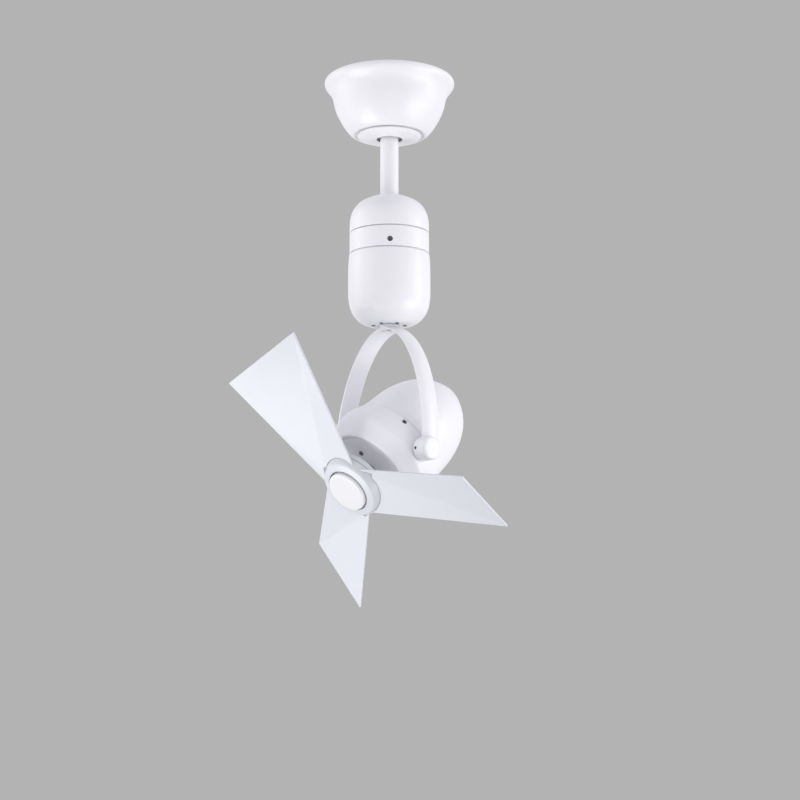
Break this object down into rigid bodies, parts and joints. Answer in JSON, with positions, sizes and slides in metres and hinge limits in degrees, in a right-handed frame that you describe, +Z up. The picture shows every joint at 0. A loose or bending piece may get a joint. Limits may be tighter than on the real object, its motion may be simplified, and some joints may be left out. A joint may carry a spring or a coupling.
{
  "type": "ceiling fan",
  "caption": "Ceiling fan whose motor head tilts on an inverted-U yoke under a capsule-shaped drive housing that turns it, hung on a short rod from a bell-shaped cup.",
  "frame": {"origin": "centre of the two ceiling screw slots, on the ceiling plane and on the rod's axis", "axes": "+Z up to the ceiling, +X along the tilt axis, -Y the side the head faces; the head is stored pitched 38.3 degrees down"},
  "size_m": [0.3362, 0.2595, 0.6105],
  "materials": {
    "white_paint": "satin",
    "blade_paint": "satin",
    "steel": "satin",
    "bright_steel": "polished",
    "zinc": "zinc plated",
    "cast_metal": "cast",
    "lamination": "laminated",
    "copper_wire": "enamelled wire",
    "brass": "machined",
    "black_plastic": "matte",
    "cream_plastic": "matte",
    "dark_screw": "black oxide"
  },
  "bodies": {
    "ceiling_side": {"hanger_bracket": "zinc", "canopy": "white_paint", "canopy_posts": "brass", "canopy_screws": "steel", "canopy_ring": "white_paint", "terminal_block": "cream_plastic"},
    "hanging_drive": {"hanger_ball": "black_plastic", "ball_pin": "steel", "downrod": "white_paint", "rod_coupling": "cast_metal", "coupling_pin": "steel", "frame_screws": "steel", "upper_cap": "white_paint", "middle_band": "white_paint", "band_screws": "dark_screw", "drive_frame": "cast_metal", "lower_cup": "white_paint", "cup_screws": "dark_screw", "bearing_housing": "cast_metal", "pan_motor": "black_plastic", "upper_bearing_outer": "bright_steel", "lower_bearing_outer": "bright_steel", "brush_block": "cream_plastic"},
    "pinion": {"pan_pinion": "brass"},
    "turning_yoke": {"output_shaft": "steel", "pan_gear": "cream_plastic", "upper_bearing_inner": "bright_steel", "lower_bearing_inner": "bright_steel", "slip_ring": "brass", "retaining_ring": "dark_screw", "yoke": "white_paint", "yoke_screws": "white_paint", "pivot_screws": "dark_screw"},
    "motor_head": {"front_housing": "white_paint", "rear_dome": "white_paint", "housing_screws": "dark_screw", "bearing_cover": "white_paint", "cover_screws": "dark_screw", "motor_screws": "dark_screw", "tilt_bolts": "steel", "tilt_nuts": "steel", "friction_washers": "black_plastic", "front_bracket": "cast_metal", "rear_bracket": "cast_metal", "stator_core": "lamination", "windings": "copper_wire", "front_bearing_outer": "bright_steel", "rear_bearing_outer": "bright_steel"},
    "rotor": {"motor_shaft": "steel", "rotor_core": "lamination", "front_bearing_inner": "bright_steel", "rear_bearing_inner": "bright_steel", "hub_flange": "white_paint", "hub_ring": "white_paint", "hub_cap": "white_paint", "hub_nut": "steel", "blade_1": "blade_paint", "blade_2": "blade_paint", "blade_3": "blade_paint", "blade_screws": "steel"}
  },
  "joints": [
    {"name": "rod_swing", "type": "hinge", "parent": "ceiling_side", "child": "hanging_drive", "pos_m": [0, 0, -0.042], "axis": [1, 0, 0], "range_deg": [-4, 4]},
    {"name": "pan", "type": "hinge", "parent": "hanging_drive", "child": "turning_yoke", "pos_m": [0, 0, -0.26], "axis": [0, 0, 1], "continuous": true},
    {"name": "pinion_spin", "type": "hinge", "parent": "hanging_drive", "child": "pinion", "pos_m": [0, 0.0286, -0.26], "axis": [0, 0, 1], "continuous": true},
    {"name": "tilt", "type": "hinge", "parent": "turning_yoke", "child": "motor_head", "pos_m": [0, -0.01108, -0.44129], "axis": [1, 0, 0], "range_deg": [-28, 51]},
    {"name": "blade_spin", "type": "hinge", "parent": "motor_head", "child": "rotor", "pos_m": [0, 0.0027, -0.4355], "axis": [0, -0.7848, -0.6198], "continuous": true}
  ],
  "couplings": [
    {"joint": "pinion_spin", "follows": "pan", "ratio": -3.3333}
  ]
}
